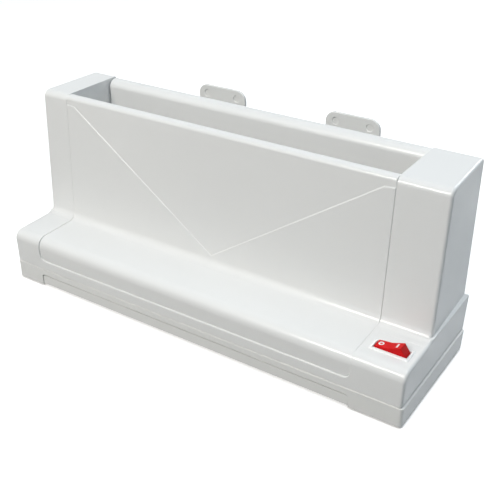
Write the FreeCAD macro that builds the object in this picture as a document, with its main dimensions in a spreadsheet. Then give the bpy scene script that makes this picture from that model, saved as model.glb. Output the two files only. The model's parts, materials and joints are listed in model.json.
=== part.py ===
import FreeCAD, Part
import math
import os
import Sketcher

# Thermal binding machine, in millimetres. Every sub-part is drawn in the body's own coordinates:
# x from the middle of the body, y back from its front face, z up from the underside of the base.
# A common placement then puts the origin under the middle of the whole machine.

Vector = FreeCAD.Vector
Rotation = FreeCAD.Rotation

DIMENSIONS = {
    # body
    "body_width": 384.0,
    "body_depth": 118.4,
    "body_height": 163.8,
    "base_height": 16.5,
    "seam": 0.4,
    "wall": 2.5,
    "gap": 0.3,
    "ledge_front": 46.6,
    "ledge_rear": 47.8,
    "ledge_round": 8.5,
    "cove_round": 7.5,
    "front_low": 47.3,
    "front_top": 54.3,
    "tower_round": 6.5,
    "side_round": 2.5,
    "base_slant": 3.0,
    "step_height": 49.2,
    "step_start": 44.0,
    "step_front": 1.4,
    "step_rear": 3.8,
    "band_top": 25.8,
    "band_round": 6.0,
    # slot between the end blocks
    "slot_left": -162.0,
    "slot_right": 149.5,
    "rim_inner": 62.0,
    "rim_top": 163.3,
    "rim_round": 4.0,
    "lip_drop": 14.0,
    "reveal": 0.5,
    "crease_width": 0.9,
    "crease_depth": 0.45,
    "crease_top": 155.4,
    "crease_apex": 53.5,
    "crease_inset": 8.5,
    "rear_face": 108.0,
    "rear_top": 163.0,
    "rear_round": 7.0,
    # base and cooling rack
    "floor_low": 10.9,
    "floor_top": 13.4,
    "tunnel_wall": 6.0,
    "tunnel_round": 3.0,
    "tray_low": 3.0,
    "tray_top": 5.2,
    "tray_flange": 2.3,
    "groove_start": 5.0,
    "strip_low": 1.0,
    "strip_top": 10.4,
    "strip_thick": 2.5,
    "stop_reach": 104.0,
    "stop_thick": 3.0,
    "rack_travel": 55.0,
    "pocket_depth": 42.7,
    "upright_thick": 3.0,
    "upright_width": 51.0,
    "upright_top": 157.0,
    "upright_offset": 66.8,
    "upright_round": 9.0,
    "upright_foot": 14.0,
    "mark_offset": 16.0,
    "mark_height": 149.2,
    # feet and placement
    "foot_height": 1.5,
    "foot_radius": 7.0,
    "front_offset": 82.05,
    # heater
    "plate_low": 30.0,
    "plate_top": 34.0,
    "plate_lip": 37.0,
    "element_low": 26.4,
    "strap_low": 24.9,
    "shield_top": 14.2,
    # switch
    "switch_x": 171.1,
    "switch_y": 21.5,
    "pad_height": 46.8,
    "bezel_top": 48.6,
    "pivot_height": 42.2,
    "throw": 26.0,
    "lever_throw": 12.0,
    "lever_height": 33.3,
    "lever_pivot": 0.6,
    # mains inlet
    "inlet_height": 35.0,
    "pin_spacing": 8.6,
    # screws
    "screw_radius": 1.45,
    "head_radius": 2.75,
}

doc = FreeCAD.newDocument("thermal_binding_machine")
sheet = doc.addObject("Spreadsheet::Sheet", "Spec")


class Size:
    """A length that holds its number together with the sheet expression that drives it."""

    def __init__(self, text, number):
        self.text = text
        self.number = number

    def __add__(self, other):
        other = sized(other)
        return Size(f"({self.text} + {other.text})", self.number + other.number)

    def __sub__(self, other):
        other = sized(other)
        return Size(f"({self.text} - {other.text})", self.number - other.number)

    def __mul__(self, factor):
        return Size(f"({self.text} * {factor})", self.number * factor)

    def __truediv__(self, divisor):
        return Size(f"({self.text} / {divisor})", self.number / divisor)

    def __neg__(self):
        return self * -1

    def __radd__(self, other):
        return sized(other) + self

    def __rsub__(self, other):
        return sized(other) - self


def sized(length):
    return length if isinstance(length, Size) else Size(f"({float(length)})", float(length))


class Dims:
    """The sheet's cells by name."""


for row, (name, number) in enumerate(DIMENSIONS.items(), start=1):
    sheet.set(f"A{row}", name)
    sheet.set(f"B{row}", str(number))
    sheet.setAlias(f"B{row}", name)
    setattr(Dims, name, Size(f"Spec.{name}", number))
doc.recompute()

D = Dims
HALF = D.body_width / 2
BOTTOM = D.base_height + D.seam
SLOT_MIDDLE = (D.slot_left + D.slot_right) / 2
UPRIGHT_FRONT = D.body_depth + D.pocket_depth
REAR_END = UPRIGHT_FRONT + D.upright_thick
TURNS = {"x": Rotation(Vector(0, 1, 0), 90), "y": Rotation(Vector(1, 0, 0), -90), "z": Rotation()}
POST_SPOTS = [(side * 184.0, y) for side in (-1, 1) for y in (38.0, 92.0)]
FOOT_SPOTS = [(side * 178.0, y) for side in (-1, 1) for y in (14.0, 106.0)]
STANDOFF_SPOTS = [(x, y) for x in (-153.0, 140.5) for y in (70.0, 100.0)]
GUIDE_SCREWS = [(x, 51.0) for x in (-130.0, -6.25, 117.5)]
STRAP_SPOTS = (-120.0, -45.0, 30.0, 90.0)
STRAP_SCREW_ROWS = (72.0, 98.0)
THERMOSTAT_SPOT = (125.0, 85.0)
COVER_SCREWS = [(x, z) for x in (-157.5, 145.0) for z in (36.0, 138.0)]
INLET_SCREWS = [(171.1 + side * 14.5, 35.0) for side in (-1, 1)]
RACK_SCREW_OFFSETS = (-15.0, 15.0)
RACK_SCREW_ROW = 154.0
nodes = []


def bind(item, path, length):
    item.setExpression(path, sized(length).text)


def finish(item, label, base=None, turn=None):
    """Names a sub-part and moves it into the machine's frame."""
    x, y, z = base or (0, 0, 0)
    item.Label = label
    item.Placement = FreeCAD.Placement(Vector(), turn or Rotation())
    bind(item, "Placement.Base.x", x)
    bind(item, "Placement.Base.y", y - D.front_offset)
    bind(item, "Placement.Base.z", z + D.foot_height)
    nodes.append(item)
    return item


def new_body(name):
    return doc.addObject("PartDesign::Body", name + "_body")


def attach(body, name, plane, level):
    sketch = body.newObject("Sketcher::SketchObject", name)
    origin_plane = next(item for item in body.Origin.OriginFeatures if item.Role == plane)
    sketch.AttachmentSupport = [(origin_plane, "")]
    sketch.MapMode = "FlatFace"
    bind(sketch, "AttachmentOffset.Base.z", level)
    return sketch


def fix_point(sketch, geometry, position, point):
    for kind, length in zip(("DistanceX", "DistanceY"), point):
        constraint = Sketcher.Constraint(kind, -1, 1, geometry, position, length.number)
        index = sketch.addConstraint(constraint)
        sketch.setExpression(f"Constraints[{index}]", length.text)


def draw_polygon(sketch, points):
    corners = [(sized(u), sized(v)) for u, v in points]
    spots = [Vector(u.number, v.number, 0) for u, v in corners]
    first = sketch.GeometryCount
    count = len(spots)
    for index in range(count):
        sketch.addGeometry(Part.LineSegment(spots[index], spots[(index + 1) % count]))
    for index in range(count):
        following = first + (index + 1) % count
        sketch.addConstraint(Sketcher.Constraint("Coincident", first + index, 2, following, 1))
        fix_point(sketch, first + index, 1, corners[index])


def draw_circle(sketch, centre, radius):
    centre = tuple(sized(part) for part in centre)
    radius = sized(radius)
    spot = Vector(centre[0].number, centre[1].number, 0)
    geometry = sketch.addGeometry(Part.Circle(spot, Vector(0, 0, 1), radius.number))
    fix_point(sketch, geometry, 3, centre)
    index = sketch.addConstraint(Sketcher.Constraint("Radius", geometry, radius.number))
    sketch.setExpression(f"Constraints[{index}]", radius.text)


def extrude(body, kind, sketch, length):
    """Pads or pockets a sketch along its plane's normal, and checks that a pocket cut something."""
    before = body.Shape.Volume if kind == "Pocket" else 0
    feature = body.newObject("PartDesign::" + kind, f"{sketch.Name}_{kind.lower()}")
    feature.Profile = sketch
    feature.Reversed = kind == "Pocket"
    bind(feature, "Length", length)
    doc.recompute()
    if kind == "Pocket" and body.Shape.Volume > before - 0.01:
        raise RuntimeError(f"{feature.Name} cut nothing")
    return feature


def start_level(plane, low, high):
    return -sized(high) if plane == "XZ_Plane" else sized(low)


def prism(body, kind, name, plane, polygons, low, high):
    """A straight prism of one or more outlines between two levels of the plane's own axis."""
    sketch = attach(body, name, plane, start_level(plane, low, high))
    for points in polygons:
        draw_polygon(sketch, points)
    return extrude(body, kind, sketch, sized(high) - low)


def drum(body, kind, name, plane, centres, radius, low, high):
    """Round posts (Pad) or holes (Pocket) between two levels of the plane's own axis."""
    sketch = attach(body, name, plane, start_level(plane, low, high))
    for centre in centres:
        draw_circle(sketch, centre, radius)
    return extrude(body, kind, sketch, sized(high) - low)


def rectangle(u_low, u_high, v_low, v_high):
    return [(u_low, v_low), (u_high, v_low), (u_high, v_high), (u_low, v_high)]


def straight_edges(shape, axis, tolerance=0.3, **place):
    """Names of the edges along an axis whose middle has the given coordinates."""
    found = []
    for number, edge in enumerate(shape.Edges, start=1):
        if edge.Curve.TypeId != "Part::GeomLine":
            continue
        if abs(getattr(edge.tangentAt(edge.FirstParameter), axis)) < 0.99:
            continue
        middle = edge.CenterOfMass
        misses = [abs(getattr(middle, key) - sized(length).number) for key, length in place.items()]
        if max(misses) < tolerance:
            found.append(f"Edge{number}")
    return found


def round_edges(body, name, radius, edges):
    feature = body.newObject("PartDesign::Fillet", name)
    feature.Base = (body.Tip if body.Tip != feature else feature.BaseFeature, edges)
    bind(feature, "Radius", radius)
    doc.recompute()
    return feature


def box(name, x, y, z):
    item = doc.addObject("Part::Box", name)
    for size, axis, (low, high) in (("Length", "x", x), ("Width", "y", y), ("Height", "z", z)):
        bind(item, size, sized(high) - low)
        bind(item, "Placement.Base." + axis, low)
    return item


def rod(name, axis, spot, radius, low, high):
    """A cylinder along an axis; spot holds its two other coordinates in x, y, z order."""
    item = doc.addObject("Part::Cylinder", name)
    item.Placement = FreeCAD.Placement(Vector(), TURNS[axis])
    bind(item, "Radius", radius)
    bind(item, "Height", sized(high) - low)
    bind(item, "Placement.Base." + axis, low)
    for other, place in zip([letter for letter in "xyz" if letter != axis], spot):
        bind(item, "Placement.Base." + other, place)
    return item


def join(name, items):
    item = doc.addObject("Part::MultiFuse", name)
    item.Shapes = items
    return item


def cut(name, base, tools):
    item = doc.addObject("Part::Cut", name)
    item.Base = base
    item.Tool = tools[0] if len(tools) == 1 else join(name + "_tools", tools)
    return item


def group(label, items):
    item = doc.addObject("Part::Compound", label + "_group")
    item.Links = items
    return finish(item, label)


def screws(label, axis, spots, head, shoulder, tip):
    """Pan-head screws along an axis: the head from head to shoulder, then the shank to the tip."""
    items = []
    for number, spot in enumerate(spots, start=1):
        name = f"{label}_{number}"
        low, high = sorted((sized(head), sized(shoulder)), key=lambda level: level.number)
        cap = rod(name + "_head", axis, spot, D.head_radius, low, high)
        low, high = sorted((sized(shoulder), sized(tip)), key=lambda level: level.number)
        shank = rod(name + "_shank", axis, spot, D.screw_radius, low, high)
        items.append(join(name, [cap, shank]))
    return group(label, items)


def lead_shape(points, radius, bend):
    """A round lead along straight runs that are joined by tangent arcs."""
    corners = [Vector(*point) for point in points]
    edges = []
    start = corners[0]
    for before, corner, after in zip(corners, corners[1:], corners[2:]):
        inward = (before - corner).normalize()
        outward = (after - corner).normalize()
        half_turn = (math.pi - inward.getAngle(outward)) / 2
        reach = bend * math.tan(half_turn)
        first = corner + inward * reach
        last = corner + outward * reach
        inside = (inward + outward).normalize()
        middle = corner + inside * (bend / math.cos(half_turn) - bend)
        edges.append(Part.LineSegment(start, first).toShape())
        edges.append(Part.Arc(first, middle, last).toShape())
        start = last
    edges.append(Part.LineSegment(start, corners[-1]).toShape())
    path = Part.Wire(edges)
    ring = Part.Wire(Part.Circle(corners[0], corners[1] - corners[0], radius).toShape())
    return path.makePipeShell([ring], True, False)


def leads(label, routes, radius=1.0, bend=4.0):
    item = doc.addObject("Part::Feature", label + "_leads")
    item.Shape = Part.makeCompound([lead_shape(route, radius, bend) for route in routes])
    return finish(item, label)


# Housing and panels

def make_upper_housing():
    body = new_body("upper_housing")
    profile = [(0, BOTTOM), (0, D.ledge_front), (D.front_low, D.ledge_rear),
               (D.front_top, D.body_height), (D.body_depth, D.body_height), (D.body_depth, BOTTOM)]
    block = prism(body, "Pad", "housing_profile", "YZ_Plane", [profile], -HALF, HALF)
    for name, radius, y, z in (("ledge_nose", D.ledge_round, 0, D.ledge_front),
                               ("cove", D.cove_round, D.front_low, D.ledge_rear),
                               ("tower_nose", D.tower_round, D.front_top, D.body_height)):
        block = round_edges(body, name, radius, straight_edges(block.Shape, "x", y=y, z=z))

    # the tall block steps in from the lower one, more at the back than at the front
    wedges = []
    for side in (-1, 1):
        wedges.append([((HALF + 1) * side, D.step_start), ((HALF - D.step_front) * side, D.step_start),
                       ((HALF - D.step_rear) * side, D.body_depth + 1),
                       ((HALF + 1) * side, D.body_depth + 1)])
    block = prism(body, "Pocket", "side_steps", "XY_Plane", wedges, D.step_height, D.body_height + 1)
    tower_side = HALF - (D.step_front + D.step_rear) / 2
    rims = []
    for side in (-1, 1):
        rims += straight_edges(block.Shape, "y", tolerance=0.6, x=tower_side * side, z=D.body_height)
    block = round_edges(body, "tower_sides", D.side_round, rims)
    corners = []
    for side in (-1, 1):
        corners += straight_edges(block.Shape, "z", x=HALF * side, y=0)
    round_edges(body, "lower_sides", D.side_round, corners)

    # hollow end blocks, and the open middle between them
    tower_wall = D.wall + D.step_rear
    bevel = 3.5
    lower = [(D.wall, BOTTOM - 1), (D.wall, D.ledge_front - D.wall - bevel),
             (D.wall + bevel, D.ledge_front - D.wall), (D.front_low + D.wall, D.ledge_rear - D.wall),
             (D.body_depth - D.wall, D.ledge_rear - D.wall), (D.body_depth - D.wall, BOTTOM - 1)]
    tower = [(D.front_low + D.wall, D.ledge_rear - D.wall - 1),
             (D.front_top + D.wall, D.body_height - D.wall - bevel),
             (D.front_top + D.wall + bevel, D.body_height - D.wall),
             (D.body_depth - D.wall, D.body_height - D.wall),
             (D.body_depth - D.wall, D.ledge_rear - D.wall - 1)]
    left_inner = D.slot_left - D.wall
    right_inner = D.slot_right + D.wall
    prism(body, "Pocket", "left_foot_hollow", "YZ_Plane", [lower], D.wall - HALF, left_inner)
    prism(body, "Pocket", "left_tower_hollow", "YZ_Plane", [tower], tower_wall - HALF, left_inner)
    prism(body, "Pocket", "right_foot_hollow", "YZ_Plane", [lower], right_inner, HALF - D.wall)
    prism(body, "Pocket", "right_tower_hollow", "YZ_Plane", [tower], right_inner, HALF - tower_wall)
    back_band = D.band_top - 2
    middle = [(-1, D.band_top), (-1, D.body_height + 1), (D.body_depth + 1, D.body_height + 1),
              (D.body_depth + 1, back_band), (D.body_depth - D.wall, back_band),
              (D.body_depth - D.wall, BOTTOM - 1), (D.wall, BOTTOM - 1), (D.wall, D.band_top)]
    opened = prism(body, "Pocket", "slot_opening", "YZ_Plane", [middle], D.slot_left, D.slot_right)
    corners = []
    for x in (D.slot_left, D.slot_right):
        corners += straight_edges(opened.Shape, "y", x=x, z=D.band_top)
    round_edges(body, "band_corners", D.band_round, corners)

    # screw posts, bosses behind the rear wall, and openings for the switch, inlet and leads
    front_posts = [spot for spot in POST_SPOTS if spot[1] < D.front_low.number]
    rear_posts = [spot for spot in POST_SPOTS if spot not in front_posts]
    drum(body, "Pad", "front_posts", "XY_Plane", front_posts, 4.0, 8.0, D.ledge_front - 1)
    drum(body, "Pad", "rear_posts", "XY_Plane", rear_posts, 4.0, 8.0, D.step_height + 6)
    drum(body, "Pocket", "post_pilots", "XY_Plane", POST_SPOTS, D.screw_radius + 0.05, 7.0, 20.0)
    for name, low, high in (("left_bosses", D.slot_left - 1, -153.0),
                            ("right_bosses", 140.5, D.slot_right + 1)):
        blocks = [rectangle(D.rear_face + D.wall + D.gap, D.body_depth - D.wall, z - 5, z + 5)
                  for z in (36.0, 138.0)]
        prism(body, "Pad", name, "YZ_Plane", blocks, low, high)
    drum(body, "Pocket", "boss_pilots", "XZ_Plane", COVER_SCREWS, D.screw_radius + 0.05, 111.5, 117.0)
    pad = rectangle(D.slot_right + 4, HALF - 3.5, D.ledge_round + 0.2, 36.5)
    prism(body, "Pocket", "switch_pad", "XY_Plane", [pad], D.pad_height, D.pad_height + 1)
    window = rectangle(D.switch_x - 14.3, D.switch_x + 14.3, D.switch_y - 6.5, D.switch_y + 6.5)
    prism(body, "Pocket", "switch_window", "XY_Plane", [window], 40.0, 50.0)
    socket = rectangle(D.switch_x - 11.7, D.switch_x + 11.7, D.inlet_height - 7.2, D.inlet_height + 7.2)
    prism(body, "Pocket", "inlet_window", "XZ_Plane", [socket], 110.0, D.body_depth + 1)
    drum(body, "Pocket", "inlet_pilots", "XZ_Plane", INLET_SCREWS, D.screw_radius + 0.05, 110.0,
         D.body_depth + 1)
    grommet = rectangle(72.0, 85.0, BOTTOM - 1, 23.0)
    prism(body, "Pocket", "lead_notch", "YZ_Plane", [grommet], D.slot_right - 1, D.slot_right + D.wall + 1)
    return finish(body, "upper_housing")


def make_front_panel():
    body = new_body("front_panel")
    left = D.slot_left + D.gap
    right = D.slot_right - D.gap
    inner = D.reveal + D.wall
    lip = D.rim_inner - 2.2
    low = D.ledge_front - inner
    outline = [(D.reveal, D.band_top + D.gap), (D.reveal, D.ledge_front - D.reveal),
               (D.front_low + D.reveal, D.ledge_rear - D.reveal), (D.front_top + D.reveal, D.rim_top),
               (D.rim_inner, D.rim_top), (D.rim_inner, D.rim_top - D.lip_drop),
               (lip, D.rim_top - D.lip_drop), (lip, D.rim_top - D.wall),
               (D.front_top + inner, D.rim_top - D.wall), (D.front_low + inner, D.ledge_rear - inner),
               (inner + 3.5, low), (inner, low - 3.5), (inner, D.band_top + 8),
               (D.wall + 2.3, D.band_top + 8), (D.wall + 2.3, D.band_top - 6),
               (D.wall + D.gap, D.band_top - 6), (D.wall + D.gap, D.band_top + D.gap)]
    panel = prism(body, "Pad", "panel_profile", "YZ_Plane", [outline], left, right)
    for name, radius, y, z in (("panel_nose", D.ledge_round, D.reveal, D.ledge_front - D.reveal),
                               ("panel_cove", D.cove_round, D.front_low + D.reveal, D.ledge_rear - D.reveal),
                               ("rim_front", D.rim_round, D.front_top + D.reveal, D.rim_top),
                               ("rim_back", D.reveal * 3, D.rim_inner, D.rim_top)):
        panel = round_edges(body, name, radius, straight_edges(panel.Shape, "x", y=y, z=z))
    corners = []
    for x in (left, right):
        corners += straight_edges(panel.Shape, "y", x=x, z=D.band_top + D.gap)
    round_edges(body, "panel_corners", D.band_round, corners)

    # the crease runs in a wide V down the leaning wall, as a shallow groove
    sketch = attach(body, "crease", "XZ_Plane", 0)
    lean = math.degrees(math.atan2(D.front_top.number - D.front_low.number,
                                   D.body_height.number - D.ledge_rear.number))
    sketch.AttachmentOffset = FreeCAD.Placement(Vector(), Rotation(Vector(-1, 0, 0), lean))
    bind(sketch, "AttachmentOffset.Base.y", D.ledge_rear)
    bind(sketch, "AttachmentOffset.Base.z", -(D.front_low + D.reveal + D.crease_depth))
    top = D.crease_top - D.ledge_rear
    apex = D.crease_apex - D.ledge_rear
    drop = D.crease_width
    path = [(left - 1, top + 0.8), (left + D.crease_inset, top), (SLOT_MIDDLE, apex),
            (right - D.crease_inset, top), (right + 1, top + 0.8)]
    draw_polygon(sketch, path + [(x, z - drop) for x, z in reversed(path)])
    extrude(body, "Pocket", sketch, 4.0)
    return finish(body, "front_panel")


def make_rear_guide_panel():
    body = new_body("rear_guide_panel")
    inner = D.rear_face + D.wall
    bevel = 4.0
    under = D.rear_top - D.wall
    back_lip = D.rear_top - D.lip_drop
    outline = [(D.rear_face, D.floor_top + D.gap), (D.rear_face, D.rear_top), (D.body_depth, D.rear_top),
               (D.body_depth, back_lip), (D.body_depth - D.wall, back_lip), (D.body_depth - D.wall, under),
               (inner + bevel, under), (inner, under - bevel), (inner, D.floor_top + D.gap)]
    panel = prism(body, "Pad", "rear_profile", "YZ_Plane", [outline], D.slot_left + 1.2, D.slot_right - 0.6)
    panel = round_edges(body, "bull_nose", D.rear_round,
                        straight_edges(panel.Shape, "x", y=D.rear_face, z=D.rear_top))
    round_edges(body, "rear_corner", D.reveal * 2,
                straight_edges(panel.Shape, "x", y=D.body_depth, z=D.rear_top))
    return finish(body, "rear_guide_panel")


def make_rear_cover():
    body = new_body("rear_cover")
    left = D.slot_left + D.gap
    right = D.slot_right - D.gap
    low = D.band_top - 2 + D.gap
    high = D.rear_top - D.lip_drop - D.gap
    outer = D.body_depth - D.wall
    prism(body, "Pad", "cover_plate", "XZ_Plane", [rectangle(left, right, low, high)], outer, D.body_depth)
    drum(body, "Pocket", "cover_holes", "XZ_Plane", COVER_SCREWS, D.screw_radius + 0.15, outer - 1,
         D.body_depth + 1)
    drum(body, "Pocket", "cover_recesses", "XZ_Plane", COVER_SCREWS, D.head_radius + 0.25,
         D.body_depth - 1.4, D.body_depth + 1)
    first_vent = SLOT_MIDDLE - 99.0
    slot = rectangle(first_vent, first_vent + 3, 44.0, 64.0)
    vent = prism(body, "Pocket", "vent", "XZ_Plane", [slot], outer - 1, D.body_depth + 1)
    vents = body.newObject("PartDesign::LinearPattern", "vents")
    vents.Originals = [vent]
    vents.Direction = (vent.Profile[0], ["H_Axis"])
    vents.Length = 195.0
    vents.Occurrences = 27
    body.Tip = vents
    return finish(body, "rear_cover")


def make_front_guide_plate():
    body = new_body("front_guide_plate")
    front = 58.4
    thick = 1.2
    outline = [(front - 12, D.floor_top), (front + thick, D.floor_top), (front + thick, D.rim_top - 4),
               (front, D.rim_top - 4), (front, D.floor_top + thick), (front - 12, D.floor_top + thick)]
    prism(body, "Pad", "guide_profile", "YZ_Plane", [outline], D.slot_left + D.gap, D.slot_right - D.gap)
    drum(body, "Pocket", "guide_holes", "XY_Plane", GUIDE_SCREWS, D.screw_radius + 0.15,
         D.floor_top - 1, D.floor_top + 3)
    finish(body, "front_guide_plate")
    screws("guide_screws", "z", GUIDE_SCREWS, D.floor_top + thick + 2, D.floor_top + thick, D.floor_low + 0.2)


# Base, feet and cooling rack

def make_base_tray():
    body = new_body("base_tray")
    left = D.slot_left
    right = D.slot_right
    inside = (D.wall, D.body_depth - D.wall)
    well = (D.wall, D.body_depth - D.wall - D.base_slant)
    profile = [(0, 0), (0, D.base_height), (D.body_depth, D.base_height), (D.body_depth - D.base_slant, 0)]
    tray = prism(body, "Pad", "base_profile", "YZ_Plane", [profile], -HALF, HALF)
    corners = []
    for x in (-HALF, HALF):
        corners += straight_edges(tray.Shape, "z", x=x, y=0)
    tray = round_edges(body, "base_corners", D.side_round, corners)
    ends = [rectangle(D.wall - HALF, left - D.tunnel_wall, *well),
            rectangle(right + D.tunnel_wall, HALF - D.wall, *well)]
    prism(body, "Pocket", "end_wells", "XY_Plane", ends, D.wall, D.base_height + 1)
    middle = rectangle(left - D.tunnel_wall - 1, right + D.tunnel_wall + 1, *inside)
    prism(body, "Pocket", "middle_well", "XY_Plane", [middle], D.floor_top, D.base_height + 1)
    tunnel = prism(body, "Pocket", "rack_tunnel", "XZ_Plane", [rectangle(left, right, -1, D.floor_low)],
                   -1, D.body_depth + 1)
    corners = []
    for x in (left, right):
        corners += straight_edges(tunnel.Shape, "y", x=x, z=D.floor_low)
    round_edges(body, "tunnel_corners", D.tunnel_round, corners)
    reach = D.tray_flange + D.gap
    grooves = [rectangle(left - reach, left + 1, D.tray_low - D.gap, D.tray_top + D.gap),
               rectangle(right - 1, right + reach, D.tray_low - D.gap, D.tray_top + D.gap)]
    prism(body, "Pocket", "rack_grooves", "XZ_Plane", grooves, D.groove_start, D.body_depth + 1)
    stop = rectangle(SLOT_MIDDLE - 14, SLOT_MIDDLE + 14, D.stop_reach, D.stop_reach + D.stop_thick)
    prism(body, "Pad", "rack_stop", "XY_Plane", [stop], 8.0, D.floor_low + 0.5)

    # screw bosses with sunk heads, holes in the raised floor, and seats for the feet
    drum(body, "Pad", "screw_bosses", "XY_Plane", POST_SPOTS, 4.5, 1.0, 8.0)
    drum(body, "Pocket", "boss_holes", "XY_Plane", POST_SPOTS, D.screw_radius + 0.15, -1, 9.0)
    drum(body, "Pocket", "head_wells", "XY_Plane", POST_SPOTS, D.head_radius + 0.25, -1, 3.4)
    drum(body, "Pocket", "floor_holes", "XY_Plane", STANDOFF_SPOTS + GUIDE_SCREWS, D.screw_radius + 0.05,
         D.floor_low - 1, D.floor_top + 1)
    drum(body, "Pocket", "floor_wells", "XY_Plane", STANDOFF_SPOTS, D.head_radius + 0.25,
         D.floor_low - 1, D.floor_low + 1.6)
    drum(body, "Pocket", "foot_seats", "XY_Plane", FOOT_SPOTS, D.foot_radius + 0.1, -1, 1.5)
    return finish(body, "base_tray")


def make_feet():
    feet = []
    for number, spot in enumerate(FOOT_SPOTS, start=1):
        feet.append(rod(f"foot_{number}", "z", spot, D.foot_radius, -D.foot_height, 1.5))
    group("rubber_feet", feet)


def make_rack_tray():
    body = new_body("rack_tray")
    left = D.slot_left
    right = D.slot_right
    flange_start = D.groove_start + 0.4
    plan = [(left + 0.4, 0.4), (right - 0.4, 0.4), (right - 0.4, flange_start),
            (right + D.tray_flange, flange_start), (right + D.tray_flange, REAR_END),
            (left - D.tray_flange, REAR_END), (left - D.tray_flange, flange_start),
            (left + 0.4, flange_start)]
    prism(body, "Pad", "tray_plan", "XY_Plane", [plan], D.tray_low, D.tray_top)
    strip = prism(body, "Pad", "strip", "XZ_Plane",
                  [rectangle(left + 0.4, right - 0.4, D.strip_low, D.strip_top)],
                  0.4, 0.4 + D.strip_thick)
    corners = []
    for x in (left + 0.4, right - 0.4):
        corners += straight_edges(strip.Shape, "y", x=x, z=D.strip_top)
    round_edges(body, "strip_corners", D.tunnel_round - 0.4, corners)
    stop_rear = D.stop_reach - D.rack_travel - 2
    stop = rectangle(SLOT_MIDDLE - 14, SLOT_MIDDLE + 14, stop_rear - D.stop_thick, stop_rear)
    prism(body, "Pad", "tray_stop", "XY_Plane", [stop], D.tray_top - 0.5, 9.6)
    spots = rack_screw_spots()
    drum(body, "Pocket", "tray_holes", "XY_Plane", spots, D.screw_radius + 0.15, D.tray_low - 1,
         D.tray_top + 1)
    return finish(body, "rack_tray")


def upright_middles():
    return SLOT_MIDDLE - D.upright_offset, SLOT_MIDDLE + D.upright_offset


def rack_screw_spots():
    return [(middle + offset, RACK_SCREW_ROW) for middle in upright_middles()
            for offset in RACK_SCREW_OFFSETS]


def make_upright(label, middle):
    body = new_body(label)
    left = middle - D.upright_width / 2
    right = middle + D.upright_width / 2
    low = D.tray_top
    plate = prism(body, "Pad", label + "_plate", "XZ_Plane",
                  [rectangle(left, right, low, D.upright_top)], UPRIGHT_FRONT, REAR_END)
    corners = []
    for x in (left, right):
        corners += straight_edges(plate.Shape, "y", x=x, z=D.upright_top)
    round_edges(body, label + "_corners", D.upright_round, corners)
    foot = rectangle(left, right, UPRIGHT_FRONT - D.upright_foot, UPRIGHT_FRONT + 1)
    base = prism(body, "Pad", label + "_foot", "XY_Plane", [foot], low, low + D.upright_thick)
    heel = straight_edges(base.Shape, "x", y=UPRIGHT_FRONT, z=low + D.upright_thick)
    round_edges(body, label + "_heel", D.upright_thick, heel)
    marks = [(middle + D.mark_offset * side, D.mark_height) for side in (-1, 1)]
    drum(body, "Pocket", label + "_marks", "XZ_Plane", marks, 3.0, UPRIGHT_FRONT - 1, UPRIGHT_FRONT + 0.3)
    pilots = [(middle + offset, RACK_SCREW_ROW) for offset in RACK_SCREW_OFFSETS]
    drum(body, "Pocket", label + "_pilots", "XY_Plane", pilots, D.screw_radius + 0.05, low - 1, low + 2.4)
    return finish(body, label)


def make_rack_fittings():
    screws("rack_screws", "z", rack_screw_spots(), D.tray_low - 1.8, D.tray_low, D.tray_top + 2.2)
    pads = []
    for number, middle in enumerate(upright_middles(), start=1):
        spot = (middle, RACK_SCREW_ROW)
        pads.append(rod(f"pad_{number}", "z", spot, 6.0, D.gap - D.foot_height, D.tray_low))
    group("rack_feet", pads)


# Heater

def make_heater_plate():
    body = new_body("heater_plate")
    front, rear, lip = 65.0, 105.0, 2.0
    outline = [(front, D.plate_low), (rear, D.plate_low), (rear, D.plate_lip), (rear - lip, D.plate_lip),
               (rear - lip, D.plate_top), (front + lip, D.plate_top), (front + lip, D.plate_lip),
               (front, D.plate_lip)]
    prism(body, "Pad", "plate_profile", "YZ_Plane", [outline], -158.0, 145.5)
    spots = [(x, y) for x in STRAP_SPOTS for y in STRAP_SCREW_ROWS]
    spots += [(THERMOSTAT_SPOT[0], THERMOSTAT_SPOT[1] + offset) for offset in (-12.0, 12.0)]
    drum(body, "Pocket", "plate_holes", "XY_Plane", spots, D.screw_radius + 0.05, D.plate_low - 1,
         D.plate_low + 3.4)
    return finish(body, "heater_plate")


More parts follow.
